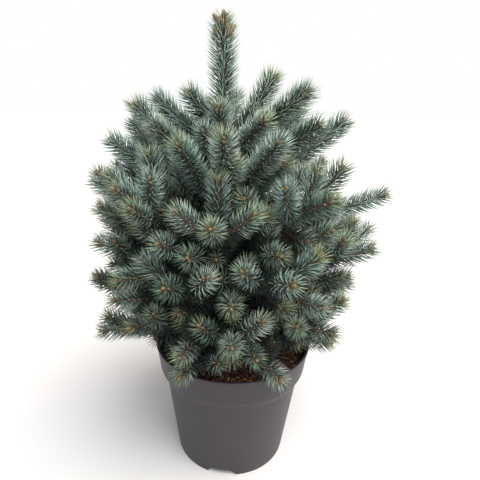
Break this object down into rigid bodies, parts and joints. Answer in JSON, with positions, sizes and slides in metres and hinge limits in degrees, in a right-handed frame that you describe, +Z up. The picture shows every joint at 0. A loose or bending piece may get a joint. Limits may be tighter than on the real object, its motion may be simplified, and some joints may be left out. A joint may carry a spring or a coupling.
{
  "type": "potted blue spruce",
  "caption": "Young blue spruce with a dense cone-shaped crown of needled shoots on one leaning trunk, in a round plastic nursery pot filled with compost.",
  "frame": {"origin": "middle of the whole plant's box at the ground, within 2 mm of the middle of the pot's foot", "axes": "+Z up along the trunk, -Y towards the viewer, +X to the viewer's right"},
  "size_m": [0.4797, 0.4251, 0.7106],
  "materials": {
    "pot": "matt taupe-grey polypropylene with a soft sheen",
    "soil": "damp dark bark and peat compost",
    "bark": "rough grey-brown young spruce bark",
    "needles": "waxy blue-green needles, matt"
  },
  "bodies": {
    "root": {"bough_low_1": "bark", "bough_low_2": "bark", "bough_low_3": "bark", "bough_low_4": "bark", "bough_low_5": "bark", "bough_low_6": "bark", "bough_middle_1": "bark", "bough_middle_2": "bark", "bough_middle_3": "bark", "bough_middle_4": "bark", "bough_middle_5": "bark", "bough_middle_6": "bark", "bough_middle_7": "bark", "bough_waist_1": "bark", "bough_waist_2": "bark", "bough_waist_3": "bark", "bough_waist_4": "bark", "bough_waist_5": "bark", "bough_waist_6": "bark", "bough_waist_7": "bark", "mass_leader": "needles", "mass_low_1": "needles", "mass_low_2": "needles", "mass_low_3": "needles", "mass_low_4": "needles", "mass_low_5": "needles", "mass_low_6": "needles", "mass_middle_1": "needles", "mass_middle_2": "needles", "mass_middle_3": "needles", "mass_middle_4": "needles", "mass_middle_5": "needles", "mass_middle_6": "needles", "mass_middle_7": "needles", "mass_skirt_1": "needles", "mass_skirt_2": "needles", "mass_skirt_3": "needles", "mass_skirt_4": "needles", "mass_skirt_5": "needles", "mass_top_1": "needles", "mass_top_2": "needles", "mass_top_3": "needles", "mass_top_4": "needles", "mass_top_5": "needles", "mass_upper_1": "needles", "mass_upper_2": "needles", "mass_upper_3": "needles", "mass_upper_4": "needles", "mass_upper_5": "needles", "mass_upper_6": "needles", "mass_waist_1": "needles", "mass_waist_2": "needles", "mass_waist_3": "needles", "mass_waist_4": "needles", "mass_waist_5": "needles", "mass_waist_6": "needles", "mass_waist_7": "needles", "pot": "pot", "soil": "soil", "trunk": "bark"}
  },
  "joints": []
}
